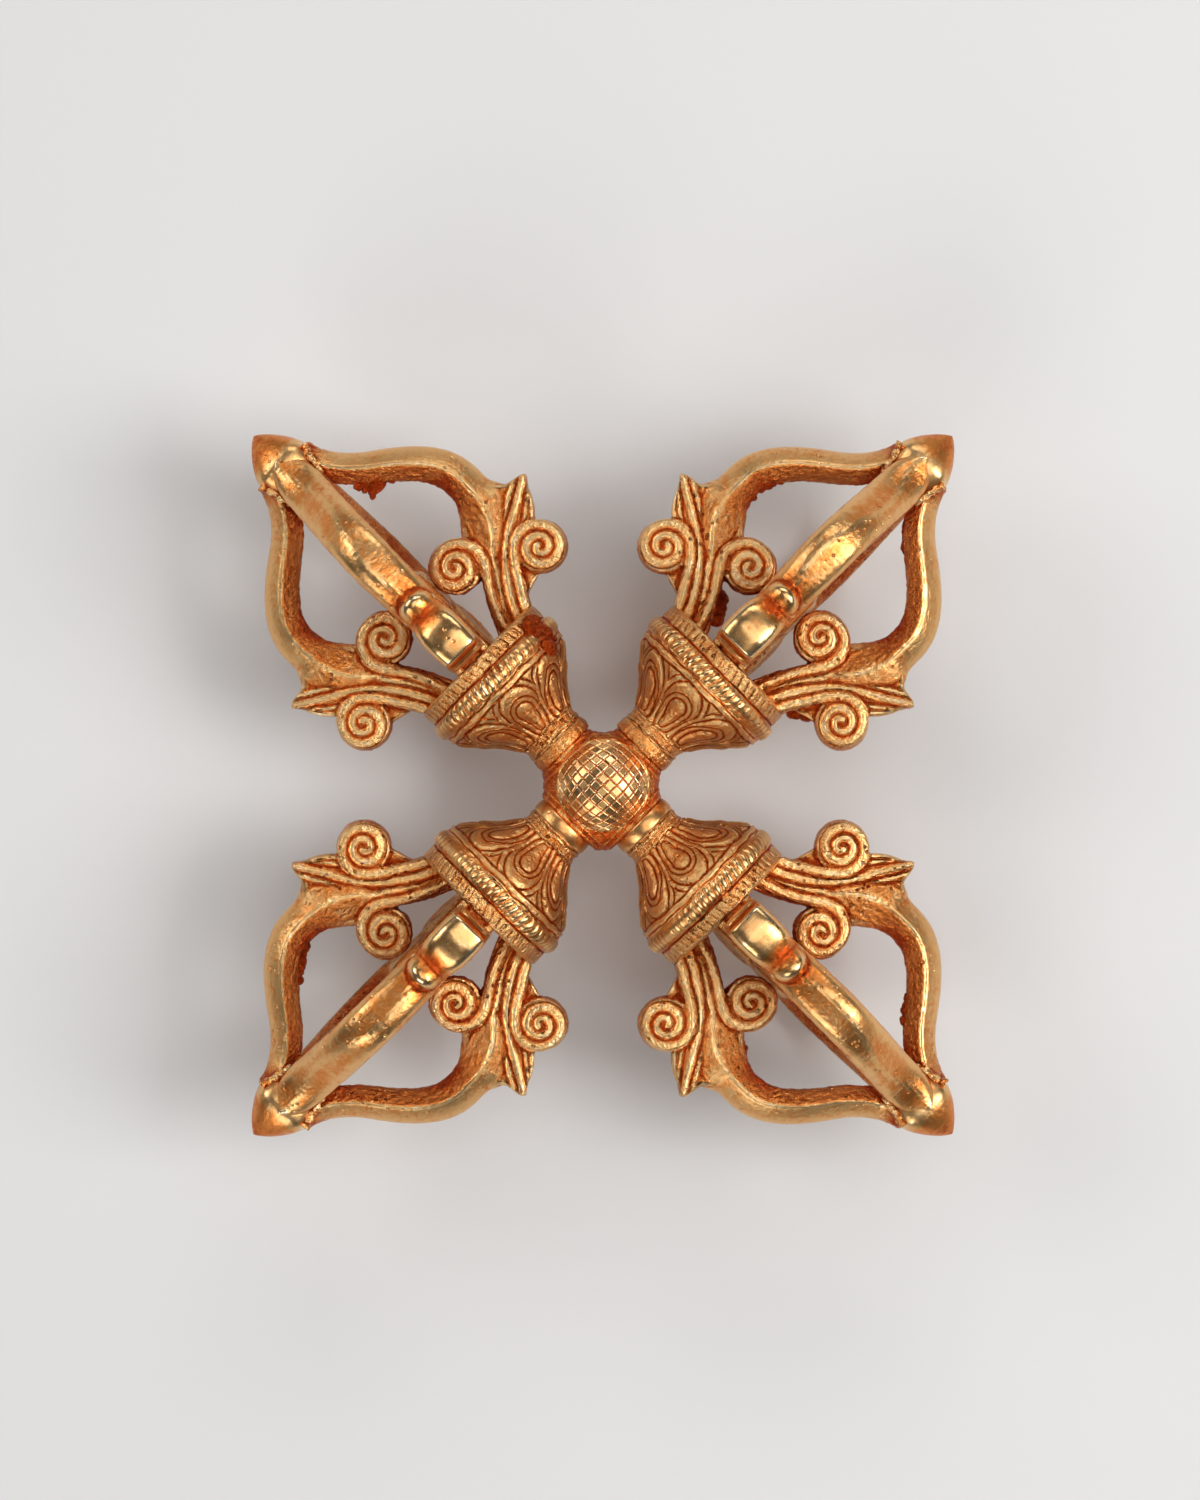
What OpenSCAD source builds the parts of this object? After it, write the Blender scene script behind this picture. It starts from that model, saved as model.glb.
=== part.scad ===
// Crossed double vajra of gilded copper alloy, brazed together from separate castings.
// Four equal arms stand at right angles round a ball hub, and the piece lies flat on its lower prongs.
// Frame: origin on the table under the middle of the hub, +Z up, arms along +X, +Y, -X and -Y.
// Each arm is drawn along +X, with X measured from the middle of the hub.

/* [Overall] */
// Distance between the points of two opposite arms
tip_span = 100; // [98:0.5:104]
// Height over the filed crowns of the upper and lower prongs
overall_h = 29.6; // [29.2:0.1:30]
// Turn of each arm round its own axis, left by hand assembly
arm_roll = 2.5; // [0:0.5:4]
// Gap for the brazing alloy at each side of a tang or tenon
braze_gap = 0.05; // [0.03:0.01:0.1]

/* [Hub] */
// Radius of the ball
ball_r = 5.4; // [5.3:0.05:5.6]
// Distance from the middle of the ball to each neck seat
seat_x = 5.2; // [5:0.05:5.25]
// Radius of the rounded webs that join neighbouring necks
web_r = 2.7; // [2.5:0.1:2.9]
// Radius of the hollow that a web leaves between two arms
web_hollow_r = 4.3; // [4.1:0.1:4.5]

/* [Neck collar] */
// Width of the collar along the arm
collar_w = 1.4; // [1.2:0.1:1.6]
// Radius over the bead of the collar
collar_r = 3.6; // [3.4:0.05:3.7]

/* [Lotus cup] */
// Radius of the neck of the cup
neck_r = 3.3; // [3.1:0.1:3.4]
// Distance from the hub at which the cup starts to flare
flare_x = 8; // [7.6:0.1:8.2]
// Distance from the hub of the wide end of the flare
flare_end_x = 14.4; // [14:0.1:14.6]
// Radius of the wide end of the flare
flare_end_r = 8; // [7.8:0.1:8.2]
// Distance from the hub of the flat face that carries the prongs
face_x = 18; // [17.8:0.1:18.2]
// Number of petals round the cup
petals = 8; // [6:1:9]
// Number of beads round the rim
beads = 56; // [40:1:64]

/* [Central prong] */
// Radius of the tang that runs through the cup into the hub
tang_r = 1.5; // [1.3:0.05:1.6]
// Half width of the square core that the prong ends lie on
core_w = 2.3; // [2.2:0.05:2.4]
// Half width of the foot of the point
point_w = 3.15; // [2.9:0.05:3.2]
// Distance from the hub to the foot of the point
point_x = 46; // [45.8:0.1:46.2]

/* [Makara prong] */
// Radius of each scroll, half way through its thickness
scroll_r = 2.7; // [2.5:0.05:2.75]
// Turns of the spiral on a scroll
scroll_turns = 2; // [1.5:0.25:2.25]
// Half thickness of the head at the top of its ridges
ridge_z = 2.25; // [2.1:0.05:2.4]
// Half width of the arch at its crown, measured away from the arm
arch_w = 1.75; // [1.6:0.05:1.9]
// Half thickness of the arch, measured across the prong
arch_h = 2.4; // [2.2:0.05:2.5]

/* [Hidden] */
$fn = 48;
GOLD = [0.83, 0.62, 0.33];
RED_GOLD = [0.80, 0.50, 0.25];

ARMS = ["east", "north", "west", "south"];
SIDES = ["left", "upper", "right", "lower"];

// Joints between the pieces
hole_r = tang_r + braze_gap;
socket_x = 2;
tang_end_x = socket_x + 0.1;
collar_end_x = seat_x + collar_w;
tenon_depth = 2;
tenon_y = [5, 7];
tenon_z = 1.15;
lap_x = 41.5;

// Webs of the hub: quarter bends of a round bar, cut short so that neighbours cross at an angle
bend_r = web_hollow_r + web_r;
bend_trim = 8;

// Rim of the lotus cup
petal_relief = 0.3;
tongue_relief = 0.5;
bead_r = 0.5;
bead_ring_r = flare_end_r - 0.15;
bead_x = [flare_end_x + 0.15, face_x - 1.85];
groove_x = face_x - 1.55;
groove_r = flare_end_r - 0.55;
band_r = flare_end_r - 0.15;
band_edge = 0.2;

// Head of a makara prong
stem_centre = [10.5, 22.9];
stem_r = 18.5;
strand_step = 1.06;
strand_r = 0.5;
stem_start = -70;
strand_sweeps = [42, 42, 34, 21];
slab_z = 1.6;
outer_scroll = [21.5, 12.65];
inner_scroll = [26.1, 5.05];
disc_z = 1.95;
disc_draft = 0.35;
ridge_wide = 0.5;
leaf_root = [24.9, 12.6];
leaf_tip = [27.9, 16.5];
pad_x = [18.4, 23.4];
pad_z = 2.2;
pad_round = 0.6;
nub_centre = [25.6, 13.25];
nub_r = 1.5;
fillet_centre = [31.2, 7.4];
fillet_r = 2.85;

// Arch of a makara prong: a rise from the head, a fall from the crown, and a lap along the core.
// Each stretch has its path, then its half width and half thickness at both ends as shares.
arch_stretches = [
    [[[25, 9.4], [27, 11.4], [28.9, 11.72], [32, 11.72]], [1.25, 1.14], [0.85, 1]],
    [[[32, 11.72], [34.5, 11.72], [36.75, 9.65], [39.2, 6.3]], [1.14, 0.97], [1, 0.98]],
    [[[39.2, 6.3], [40.9, 4], [43.4, 2], [46.4, 1.9]], [0.97, 0.88], [0.98, 0.5]]
];
arch_steps = 6;
arch_sides = 12;
arch_bluntness = 1.2;

function mix(a, b, t) = a + (b - a) * t;
function bezier(p, t) =
    p[0] * pow(1 - t, 3) + p[1] * 3 * t * pow(1 - t, 2) + p[2] * 3 * t * t * (1 - t) + p[3] * pow(t, 3);
function bezier_slope(p, t) =
    (p[1] - p[0]) * pow(1 - t, 2) + (p[2] - p[1]) * 2 * t * (1 - t) + (p[3] - p[2]) * t * t;
function curve(a, b, c, steps) =
    [for (i = [0 : steps]) let (t = i / steps) a * pow(1 - t, 2) + b * 2 * t * (1 - t) + c * t * t];
function signed_power(v, e) = sign(v) * pow(abs(v), e);
function unit(v) = v / norm(v);

// Radius of the flare of the lotus cup at a distance from the hub
function flare(x) =
    let (t = (x - flare_x) / (flare_end_x - flare_x)) mix(neck_r, flare_end_r, t - 0.08 * sin(360 * t));
function flare_line(from, to, lift, steps) =
    [for (i = [0 : steps]) let (x = mix(from, to, i / steps)) [flare(x) + lift, x]];

// Closed solid through rings that all have the same number of points
module loft(rings) {
    n = len(rings[0]);
    last = len(rings) - 1;
    sides = [for (i = [0 : last - 1], j = [0 : n - 1])
        let (a = i * n, b = a + n, k = (j + 1) % n) each [[a + j, b + j, a + k], [a + k, b + j, b + k]]];
    caps = [[for (j = [0 : n - 1]) j], [for (j = [n - 1 : -1 : 0]) last * n + j]];
    polyhedron([for (ring = rings) each ring], concat(sides, caps), convexity = 6);
}

// Turns a shape that was drawn up the Z axis so that it runs along the arm
module along_arm() {
    rotate([0, 90, 0]) children();
}

// Places a piece of one arm in the finished object
module on_arm(i) {
    translate([0, 0, overall_h / 2]) rotate([0, 0, 90 * i]) children();
}

// Ball with four webbed neck roots, each with a blind socket for a tang
module hub() {
    color(GOLD)
    translate([0, 0, overall_h / 2])
    difference() {
        intersection() {
            union() {
                sphere(ball_r, $fn = 96);
                for (i = [0 : 3]) rotate([0, 0, 90 * i]) web();
            }
            cube([2 * seat_x, 2 * seat_x, 4 * ball_r], center = true);
        }
        for (i = [0 : 3]) rotate([0, 0, 90 * i])
            translate([socket_x, 0, 0]) along_arm() cylinder(r = hole_r, h = seat_x);
    }
}

module web() {
    translate([bend_r, bend_r, 0])
    rotate([0, 0, 180 + bend_trim])
    rotate_extrude(angle = 90 - 2 * bend_trim)
    translate([bend_r, 0]) circle(web_r);
}

// Beaded ring that covers the joint between the hub and a lotus cup
module neck_collar() {
    bead = collar_w / 2 - 0.02;
    color(GOLD)
    translate([seat_x, 0, 0]) along_arm()
    rotate_extrude() {
        translate([hole_r, 0]) square([collar_r - bead - hole_r + 0.1, collar_w]);
        translate([collar_r - bead, collar_w / 2]) circle(bead);
    }
}

// Flared cup with raised petals, a beaded rim, and four mortices in its flat face
module lotus_cup() {
    color(RED_GOLD)
    difference() {
        union() {
            along_arm() rotate_extrude() polygon(cup_profile());
            translate([bead_x[0], 0, 0]) along_arm()
                linear_extrude(bead_x[1] - bead_x[0]) beaded_disc();
            for (i = [0 : petals - 1]) rotate([360 / petals * i, 0, 0]) petal();
        }
        translate([collar_end_x - 1, 0, 0]) along_arm() cylinder(r = hole_r, h = face_x);
        for (i = [0 : 3]) rotate([90 * i, 0, 0]) tenon(braze_gap);
    }
}

function cup_profile() = concat(
    [[0, collar_end_x], [neck_r, collar_end_x]],
    flare_line(flare_x, flare_end_x, 0, 7),
    [
        [groove_r + 0.3, flare_end_x + 0.1], [groove_r + 0.3, bead_x[1]], [groove_r, bead_x[1]],
        [groove_r, groove_x], [band_r, groove_x], [band_r, face_x - band_edge],
        [band_r - band_edge, face_x], [0, face_x]
    ]
);

module beaded_disc() {
    circle(bead_ring_r - 0.1);
    for (i = [0 : beads - 1]) rotate(360 / beads * i) translate([bead_ring_r, 0]) circle(bead_r);
}

// One petal on the upper side of the flare, with a raised tongue down its middle
module petal() {
    petal_layer(petal_relief, 0.75, 1.95, 11.6);
    petal_layer(tongue_relief, 0.35, 0.85, 11.2);
}

module petal_layer(relief, narrow, wide, round_x) {
    start = flare_x - 0.1;
    end = flare_end_x - 0.2;
    intersection() {
        along_arm() rotate_extrude() polygon(concat(
            flare_line(start, end, relief, 7),
            [for (p = [7 : -1 : 0]) [flare(mix(start, end, p / 7)) - 0.6, mix(start, end, p / 7)]]
        ));
        linear_extrude(flare_end_r + 1) {
            polygon([[start + 0.2, -narrow], [round_x, -wide], [round_x, wide], [start + 0.2, narrow]]);
            translate([round_x, 0]) circle(wide);
        }
    }
}

// Rod on the axis of an arm, from a tang in the hub to the square core and the point
module central_prong() {
    color(GOLD) {
        translate([tang_end_x, 0, 0]) along_arm() cylinder(r = tang_r, h = face_x - tang_end_x + 0.5);
        along_arm() rotate_extrude() polygon(concat(
            [[0, face_x]],
            [for (i = [0 : 8]) [tang_r + 0.3 * sin(180 * i / 8), mix(face_x, lap_x + 1, i / 8)]],
            [[0, lap_x + 1]]
        ));
        intersection() {
            translate([lap_x, -core_w, -core_w]) cube([point_x - lap_x + 0.5, 2 * core_w, 2 * core_w]);
            rotate([45, 0, 0]) translate([lap_x, -1.25 * core_w, -1.25 * core_w])
                cube([point_x - lap_x + 0.5, 2.5 * core_w, 2.5 * core_w]);
        }
        loft(concat(
            [for (i = [0 : 6]) point_ring(i / 6)],
            [[for (j = [0 : 15]) point_corner(tip_span / 2, 0.3, 22.5 * j)]]
        ));
    }
}

// Rounded square section of the point, from its foot at 0 to its blunt end at 1
function point_ring(t) =
    let (half = mix(point_w, 0.6, pow(t, 1.25)), x = mix(point_x, tip_span / 2 - 0.2, t))
    [for (j = [0 : 15]) point_corner(x, half, 22.5 * j)];
function point_corner(x, half, a) = [x, half * signed_power(cos(a), 0.65), half * signed_power(sin(a), 0.65)];

// Outer prong: a makara head with two scrolls and a leaf, and an arch that closes on the point.
// The upper and lower ones are filed: a block on the outer scroll, and a nub in place of the leaf
module makara_prong(filed) {
    color(GOLD) {
        difference() {
            stem();
            translate([face_x - 10, -10, -10]) cube([10, 40, 20]);
        }
        difference() {
            arch();
            translate([lap_x - 1, core_w - 20, -10]) cube([20, 20, 20]);
            translate([point_x, 0, -10]) cube([10, 20, 20]);
        }
        linear_extrude(2 * slab_z, center = true) web_outline();
        if (filed) {
            linear_extrude(2 * pad_z, center = true) pad_outline();
            translate(nub_centre) sphere(nub_r);
        }
        else leaf();
        scroll(outer_scroll, -60, 1);
        scroll(inner_scroll, 120, -1);
        tenon(0);
    }
}

// Four strands side by side on both faces of the stem. The inner two end sooner
module stem() {
    translate(stem_centre)
    rotate([0, 0, stem_start])
    for (i = [0 : 3])
        rotate_extrude(angle = strand_sweeps[i], $fn = 96) translate([stem_r + (i - 1) * strand_step, 0]) {
            square([strand_step + 0.1, 2 * slab_z - 0.2], center = true);
            for (face = [-1, 1]) translate([0, face * (slab_z - 0.1)]) circle(strand_r, $fn = 24);
        }
}

// Outline of the web between the stem, the two scrolls and the arch
module web_outline() {
    polygon([[23.4, 13.4], [25, 13], [28.2, 13.4], [27, 10.5], [23.5, 10.5]]);
    difference() {
        polygon([[21.8, 7.8], [24, 6.4], [28.2, 6.4], [30.6, 10.6], [28, 12.5], [24, 10.6]]);
        translate(fillet_centre) circle(fillet_r);
    }
}

// Pointed leaf between the outer scroll and the arch, with three ribs on both faces
module leaf() {
    linear_extrude(2 * slab_z - 0.3, center = true) polygon(concat(
        curve([23.4, 13.9], [25.6, 14.7], leaf_tip, 4),
        curve([27.8, 15], [27.8, 14.2], [28.6, 13.8], 3),
        [[27, 11.5], [24, 11.5]]
    ));
    for (i = [-1 : 1]) {
        root = leaf_root + i * [0.75, -0.55];
        end = mix(root, leaf_tip, 0.88);
        across = 0.22 * unit([leaf_tip[1] - root[1], root[0] - leaf_tip[0]]);
        linear_extrude(2 * slab_z + 0.2, center = true)
            polygon([root - across, root + across, end + across / 2, end - across / 2]);
    }
}

// Outline of the filed block over the outer scroll, before it is filed level
module pad_outline() {
    top = overall_h / 2 + 0.3;
    translate([pad_x[0], outer_scroll[1] - 0.4])
        square([pad_x[1] - pad_x[0], top - pad_round - outer_scroll[1] + 0.4]);
    translate([pad_x[0] + pad_round, outer_scroll[1]])
        square([pad_x[1] - pad_x[0] - 2 * pad_round, top - outer_scroll[1]]);
    for (x = [pad_x[0] + pad_round, pad_x[1] - pad_round])
        translate([x, top - pad_round]) circle(pad_round);
}

// Round scroll with a spiral ridge on both faces
module scroll(centre, start, hand) {
    translate(centre) {
        for (face = [0, 1]) mirror([0, 0, face])
            cylinder(r1 = scroll_r, r2 = scroll_r - disc_draft, h = disc_z);
        linear_extrude(2 * ridge_z, center = true) polygon(spiral(start, hand));
    }
}

function spiral(start, hand) =
    let (
        steps = round(16 * scroll_turns),
        out_r = scroll_r - disc_draft - 0.08,
        line = [for (i = [0 : steps]) let (t = i / steps)
            [start + hand * 360 * scroll_turns * t, mix(out_r, ridge_wide + 0.2, t)]]
    )
    concat(
        [for (p = line) p[1] * [cos(p[0]), sin(p[0])]],
        [for (i = [steps : -1 : 0]) let (p = line[i]) (p[1] - ridge_wide) * [cos(p[0]), sin(p[0])]]
    );

module arch() {
    last = len(arch_stretches) - 1;
    loft([for (k = [0 : last], i = [0 : arch_steps - (k < last ? 1 : 0)])
        arch_ring(arch_stretches[k], i / arch_steps)]);
}

// Section of the arch: a soft diamond that thins towards the point
function arch_ring(stretch, t) =
    let (
        centre = bezier(stretch[0], t),
        ahead = unit(bezier_slope(stretch[0], t)),
        out = [-ahead[1], ahead[0]],
        half_w = arch_w * mix(stretch[1][0], stretch[1][1], t),
        half_h = arch_h * mix(stretch[2][0], stretch[2][1], t)
    )
    [for (j = [0 : arch_sides - 1]) let (
        a = 360 * j / arch_sides,
        p = centre + out * half_w * signed_power(cos(a), arch_bluntness)
    ) [p[0], p[1], half_h * signed_power(sin(a), arch_bluntness)]];

// Foot of a prong, or with a gap the mortice that it stands in
module tenon(gap) {
    translate([face_x - tenon_depth - gap, tenon_y[0] - gap, -tenon_z - gap])
        cube([tenon_depth + 0.3 + gap, tenon_y[1] - tenon_y[0] + 2 * gap, 2 * (tenon_z + gap)]);
}

// A prong turned to its side of the arm. The upper and lower ones are filed level
module placed_prong(side) {
    difference() {
        rotate([90 * side - arm_roll, 0, 0]) makara_prong(side % 2 == 1);
        if (side % 2 == 1)
            for (face = [-1, 1]) translate([0, -10, face > 0 ? overall_h / 2 : -overall_h / 2 - 10])
                cube([60, 20, 10]);
    }
}

hub();
for (i = [0 : 3]) {
    on_arm(i) neck_collar();
    on_arm(i) rotate([-arm_roll, 0, 0]) lotus_cup();
    on_arm(i) rotate([-arm_roll, 0, 0]) central_prong();
    for (side = [0 : 3])
        on_arm(i) placed_prong(side);
}
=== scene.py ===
"""Crossed double vajra of gilded cast metal: hub, four lotus cups and sixteen makara prongs."""

import math

import bmesh
import bpy
import numpy as np
from mathutils import Matrix, Vector, noise
from mathutils.bvhtree import BVHTree


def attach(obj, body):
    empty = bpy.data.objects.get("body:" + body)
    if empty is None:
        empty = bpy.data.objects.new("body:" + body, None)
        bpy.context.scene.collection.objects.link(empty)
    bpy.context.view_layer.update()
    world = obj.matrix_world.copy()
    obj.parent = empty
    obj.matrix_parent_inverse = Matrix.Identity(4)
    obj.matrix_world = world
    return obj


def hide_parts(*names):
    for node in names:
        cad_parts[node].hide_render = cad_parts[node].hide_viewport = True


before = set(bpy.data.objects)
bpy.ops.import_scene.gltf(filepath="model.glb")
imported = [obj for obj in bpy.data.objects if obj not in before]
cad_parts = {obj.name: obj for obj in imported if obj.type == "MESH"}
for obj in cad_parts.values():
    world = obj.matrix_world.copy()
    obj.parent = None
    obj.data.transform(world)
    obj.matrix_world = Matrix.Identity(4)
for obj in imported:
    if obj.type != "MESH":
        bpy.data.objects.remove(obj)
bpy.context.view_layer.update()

# A fixed seed, without which the vector noise differs from run to run
NOISE_SEED = 5
noise.seed_set(NOISE_SEED)

# Sizes are in millimetres in each arm's own frame: X along the arm from the middle of the hub
ARMS = ("east", "north", "west", "south")
SIDES = ("left", "upper", "right", "lower")
MID = 14.8
ROLL = math.radians(-2.5)
FACE_X = 18.0
POINT_X = 46.0
TIP_X = 50.0
CORE_W = 2.3
BALL_R = 5.4
SEAT_X = 5.2
COLLAR_END = 6.6
TANG_R = 1.5
UP = Vector((0, 0, 1))

STEM_CENTRE = Vector((10.5, 22.9, 0))
STEM_R = 18.5
STRAND_STEP = 1.06
OUTER = Vector((21.5, 12.65, 0))
INNER = Vector((26.1, 5.05, 0))

# Arch of a prong in four curves: path, then half width and half thickness at its start and end
ARCH = (
    (((22.5, 7.0), (23.3, 7.75), (24.2, 8.6), (25, 9.4)), (0.9, 2.1), (1.6, 2.2)),
    (((25, 9.4), (27, 11.4), (28.9, 11.72), (32, 11.72)), (2.1, 2.0), (2.2, 2.4)),
    (((32, 11.72), (34.5, 11.72), (36.75, 9.65), (39.2, 6.3)), (2.0, 1.7), (2.4, 2.36)),
    (((39.2, 6.3), (40.9, 4.0), (43.4, 2.0), (46.4, 1.9)), (1.7, 1.5), (2.36, 2.3)),
)

# Filed block and hump of the upper and lower prongs: place along the arm, height of its top, half its width
BLOCK = (
    (18.3, 13.5, 2.0), (18.45, 13.85, 2.15), (18.95, 14.0, 2.2), (19.1, 14.45, 2.2), (19.3, 14.65, 2.24),
    (20.2, 14.78, 2.3), (20.9, 14.85, 2.32), (21.6, 14.78, 2.32), (22.6, 14.54, 2.28), (23.2, 14.3, 2.2),
    (23.7, 13.98, 2.1), (24.2, 13.66, 1.96), (24.7, 13.58, 1.94), (25.2, 13.78, 1.92), (25.7, 14.02, 1.88),
    (26.1, 14.1, 1.8), (26.5, 13.98, 1.6), (26.85, 13.68, 1.3), (27.15, 13.2, 0.9), (27.3, 12.6, 0.4),
)


def mix(a, b, t):
    return a + (b - a) * t


def flat(x, y, z=0.0):
    return Vector((x, y, z))


def polar(centre, radius, degrees, z=0.0):
    a = math.radians(degrees)
    return centre + Vector((radius * math.cos(a), radius * math.sin(a), z))


def bezier(p, t):
    p = [flat(*q) for q in p]
    s = 1 - t
    return p[0] * s ** 3 + p[1] * 3 * s * s * t + p[2] * 3 * s * t * t + p[3] * t ** 3


def smooth_step(low, high, v):
    t = np.clip((v - low) / (high - low), 0, 1)
    return t * t * (3 - 2 * t)


# Mesh building

MERGE = 1e-4


def signed_power(v, e):
    return math.copysign(abs(v) ** e, v)


def section(centre, out, half_w, half_h, count=20, side=1.0, crest=1.0):
    """Ring with half_w along out and half_h along Z. Powers over 1 give it ridges, under 1 flat faces."""
    ring = []
    for j in range(count):
        a = math.tau * j / count
        c, s = signed_power(math.cos(a), side), signed_power(math.sin(a), crest)
        ring.append(centre + out * (half_w * c) + UP * (half_h * s))
    return ring


def verts_in(geom):
    return [g for g in geom if isinstance(g, bmesh.types.BMVert)]


def sweep(bm, rings):
    """Closed tube: a circle is set on the first ring, and extruded from ring to ring."""
    n = len(rings[0])
    start = bmesh.ops.create_circle(bm, segments=n, radius=1.0)["verts"][0]
    loop = [start]
    while len(loop) < n:
        near = (e.other_vert(loop[-1]) for e in loop[-1].link_edges)
        loop.append(next(w for w in near if w not in loop))
    first = loop
    for v, p in zip(loop, rings[0]):
        v.co = p
    for ring in rings[1:]:
        edges = [bm.edges.get((loop[j], loop[(j + 1) % n])) for j in range(n)]
        made = bmesh.ops.extrude_edge_only(bm, edges=edges)["geom"]
        fresh = set(verts_in(made))
        loop = [next(w for w in (e.other_vert(v) for e in v.link_edges) if w in fresh) for v in loop]
        for v, p in zip(loop, ring):
            v.co = p
    for cap in (first, loop):
        edges = [bm.edges.get((cap[j], cap[(j + 1) % n])) for j in range(n)]
        bmesh.ops.contextual_create(bm, geom=edges)


def outs(points):
    """Sideways direction in the XY plane at each point of a path."""
    found = []
    for i in range(len(points)):
        d = points[min(i + 1, len(points) - 1)] - points[max(i - 1, 0)]
        found.append(flat(-d.y, d.x).normalized())
    return found


def tube(bm, points, widths, heights, count=14, side=1.0, crest=1.0):
    rings = zip(points, outs(points), widths, heights)
    sweep(bm, [section(p, o, w, h, count, side, crest) for p, o, w, h in rings])


def ramp(a, b, count):
    return [mix(a, b, i / (count - 1)) for i in range(count)]


def through(points, count):
    """Smooth path of count points through the given ones."""
    pts = [points[0] * 2 - points[1], *points, points[-1] * 2 - points[-2]]
    found = []
    for i in range(count):
        f = i / (count - 1) * (len(points) - 1)
        k = min(int(f), len(points) - 2)
        t = f - k
        a, b, c, d = pts[k:k + 4]
        found.append(0.5 * (b * 2 + (c - a) * t + (a * 2 - b * 5 + c * 4 - d) * t * t
                            + (b * 3 - a - c * 3 + d) * t ** 3))
    return found


def slab(bm, outline, half_h):
    """Flat plate with the given outline, extruded to its thickness."""
    verts = [bm.verts.new((x, y, -half_h)) for x, y in outline]
    face = bm.faces.new(verts)
    made = bmesh.ops.extrude_face_region(bm, geom=[face])["geom"]
    bmesh.ops.translate(bm, vec=(0, 0, 2 * half_h), verts=verts_in(made))


def ball(bm, centre, radius, fineness=3):
    place = Matrix.Translation(centre)
    return bmesh.ops.create_icosphere(bm, subdivisions=fineness, radius=radius, matrix=place)["verts"]


def lathe(profile, steps):
    """Closed profile of (x, radius) spun round the X axis."""
    bm = bmesh.new()
    verts = [bm.verts.new((x, r, 0)) for x, r in profile]
    edges = [bm.edges.new((verts[i], verts[(i + 1) % len(verts)])) for i in range(len(verts))]
    bmesh.ops.spin(bm, geom=verts + edges, cent=(0, 0, 0), axis=(1, 0, 0), dvec=(0, 0, 0), angle=math.tau,
                   steps=steps, use_merge=True)
    bmesh.ops.remove_doubles(bm, verts=bm.verts, dist=MERGE)
    return bm


def to_mesh(bm, name):
    bmesh.ops.recalc_face_normals(bm, faces=bm.faces)
    mesh = bpy.data.meshes.new(name)
    bm.to_mesh(mesh)
    bm.free()
    return mesh


def cast(bm, name, voxel, soften):
    """Fuses overlapping shells into one skin with soft inner corners, as a casting has."""
    rough = to_mesh(bm, name)
    ob = bpy.data.objects.new(name, rough)
    bpy.context.scene.collection.objects.link(ob)
    fuse = ob.modifiers.new("fuse", "REMESH")
    fuse.mode = "VOXEL"
    fuse.voxel_size = voxel
    calm = ob.modifiers.new("soften", "SMOOTH")
    calm.factor = 0.5
    calm.iterations = soften
    mesh = bpy.data.meshes.new_from_object(ob.evaluated_get(bpy.context.evaluated_depsgraph_get()))
    bpy.data.objects.remove(ob)
    bpy.data.meshes.remove(rough)
    return mesh


def cut_flat(mesh, planes):
    """Cuts the mesh off past each (point, outward normal) and closes the cut."""
    bm = bmesh.new()
    bm.from_mesh(mesh)
    for point, normal in planes:
        geom = bm.verts[:] + bm.edges[:] + bm.faces[:]
        made = bmesh.ops.bisect_plane(bm, geom=geom, dist=MERGE, plane_co=point, plane_no=normal,
                                      clear_outer=True)
        rim = [g for g in made["geom_cut"] if isinstance(g, bmesh.types.BMEdge)]
        if rim:
            bmesh.ops.holes_fill(bm, edges=rim, sides=0)
    bmesh.ops.recalc_face_normals(bm, faces=bm.faces)
    bm.to_mesh(mesh)
    bm.free()


# Reading and writing vertices in bulk


def coords(mesh):
    co = np.empty(len(mesh.vertices) * 3)
    mesh.vertices.foreach_get("co", co)
    return co.reshape(-1, 3)


def set_coords(mesh, co):
    mesh.vertices.foreach_set("co", np.ascontiguousarray(co, np.float64).ravel())
    mesh.update()


def normals(mesh):
    no = np.empty(len(mesh.vertices) * 3)
    mesh.vertices.foreach_get("normal", no)
    return no.reshape(-1, 3)


def store(mesh, name, values):
    layer = mesh.attributes.get(name) or mesh.attributes.new(name, "FLOAT", "POINT")
    layer.data.foreach_set("value", np.clip(values, 0, 1).astype(np.float32))


def stored(mesh, name):
    values = np.empty(len(mesh.vertices), np.float32)
    mesh.attributes[name].data.foreach_get("value", values)
    return values


def blurred(mesh, values, times):
    """Values averaged with their neighbours along the mesh."""
    e = np.empty(len(mesh.edges) * 2, np.int64)
    mesh.edges.foreach_get("vertices", e)
    a, b = e.reshape(-1, 2).T
    n = len(mesh.vertices)
    share = np.maximum(np.bincount(a, minlength=n) + np.bincount(b, minlength=n), 1)
    v = values.reshape(n, -1).astype(float)
    for _ in range(times):
        near = [np.bincount(a, v[b, k], n) + np.bincount(b, v[a, k], n) for k in range(v.shape[1])]
        v = 0.5 * v + 0.5 * np.stack(near, 1) / share[:, None]
    return v.reshape(values.shape)


def hollow(mesh, times):
    """How far each vertex lies below its smoothed surroundings, in millimetres."""
    co = coords(mesh)
    return ((blurred(mesh, co, times) - co) * normals(mesh)).sum(1)


def grain(co, size, seed=0.0):
    """Smooth noise between about -1 and 1 with features of the given size."""
    k = 1.0 / size
    return np.array([noise.noise((x * k + seed, y * k - seed, z * k + 2 * seed)) for x, y, z in co])


# Makara prong, drawn in its own plane: X along the arm, Y away from it, Z across, angles in degrees

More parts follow.
